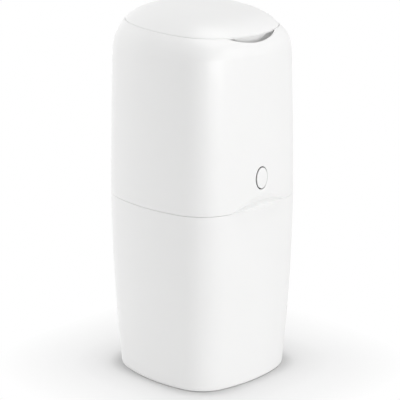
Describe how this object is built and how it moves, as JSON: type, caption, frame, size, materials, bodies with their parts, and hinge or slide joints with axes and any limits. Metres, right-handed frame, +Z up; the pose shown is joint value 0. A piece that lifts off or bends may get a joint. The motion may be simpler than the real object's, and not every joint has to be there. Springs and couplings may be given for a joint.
{
  "type": "nappy bin",
  "caption": "Floor-standing nappy bin with a tapering lower bin, a hinged upper housing with film cassette, clamp jaws and push-button latch, and a domed flip lid.",
  "frame": {"origin": "on the floor under the middle of the bin", "axes": "+Z up, front with the button faces -Y, +X to the right of a person facing -Y from behind"},
  "size_m": [0.24, 0.252, 0.5488],
  "materials": {
    "white_shell": "satin white injection-moulded plastic",
    "inner_shell": "plain off-white plastic",
    "jaw_plastic": "pale grey plastic",
    "grey_plastic": "light grey plastic",
    "dark_plastic": "plain dark grey plastic",
    "film": "pleated film, milky",
    "rubber": "soft dark rubber",
    "steel": "plain steel"
  },
  "bodies": {
    "lower_bin": {"lower_bin": "white_shell", "rubber_feet": "rubber", "latch_keeper": "grey_plastic", "keeper_screws": "steel", "body_hinge_pins": "steel"},
    "upper_housing": {"upper_housing": "white_shell", "cassette_tray": "inner_shell", "tray_screws": "steel", "refill_cassette": "grey_plastic", "film_pack": "film", "cassette_cover": "grey_plastic", "clamp_frame": "inner_shell", "clamp_screws": "steel", "front_jaw_pin": "steel", "rear_jaw_pin": "steel", "jaw_springs": "steel", "film_cutter": "grey_plastic", "cutter_blade": "steel", "button_guide": "dark_plastic", "button_spring": "steel", "latch_bracket": "grey_plastic", "latch_pin": "steel", "lid_hinge_pins": "steel"},
    "lid": {"lid": "white_shell", "lid_liner": "inner_shell", "lid_seal": "rubber", "lid_catch": "grey_plastic"},
    "front_jaw": {"front_jaw": "jaw_plastic"},
    "rear_jaw": {"rear_jaw": "jaw_plastic"},
    "release_button": {"release_button": "white_shell"},
    "latch_lever": {"latch_lever": "grey_plastic"}
  },
  "joints": [
    {"name": "body_hinge", "type": "hinge", "parent": "lower_bin", "child": "upper_housing", "pos_m": [0, 0.1214, 0.27], "axis": [-1, 0, 0], "range_deg": [0, 75]},
    {"name": "lid_hinge", "type": "hinge", "parent": "upper_housing", "child": "lid", "pos_m": [0, 0.104, 0.52924], "axis": [-1, 0, 0], "range_deg": [0, 95]},
    {"name": "button_press", "type": "slide", "parent": "upper_housing", "child": "release_button", "axis": [0, 1, 0], "range_m": [0, 0.004], "stiffness_N_per_m": 400, "springref_m": -0.002, "deforming": ["button_spring"]},
    {"name": "latch_pivot", "type": "hinge", "parent": "upper_housing", "child": "latch_lever", "pos_m": [0, -0.0963, 0.345], "axis": [1, 0, 0], "range_deg": [0, 7.5]},
    {"name": "front_jaw_hinge", "type": "hinge", "parent": "upper_housing", "child": "front_jaw", "pos_m": [0, -0.062, 0.418], "axis": [-1, 0, 0], "range_deg": [0, 65], "stiffness_Nm_per_rad": 0.1, "springref_deg": -34.38},
    {"name": "rear_jaw_hinge", "type": "hinge", "parent": "upper_housing", "child": "rear_jaw", "pos_m": [0, 0.062, 0.418], "axis": [1, 0, 0], "range_deg": [0, 65], "stiffness_Nm_per_rad": 0.1, "springref_deg": -34.38}
  ],
  "couplings": [
    {"joint": "latch_pivot", "follows": "button_press", "rad_per_m": 31.25}
  ]
}
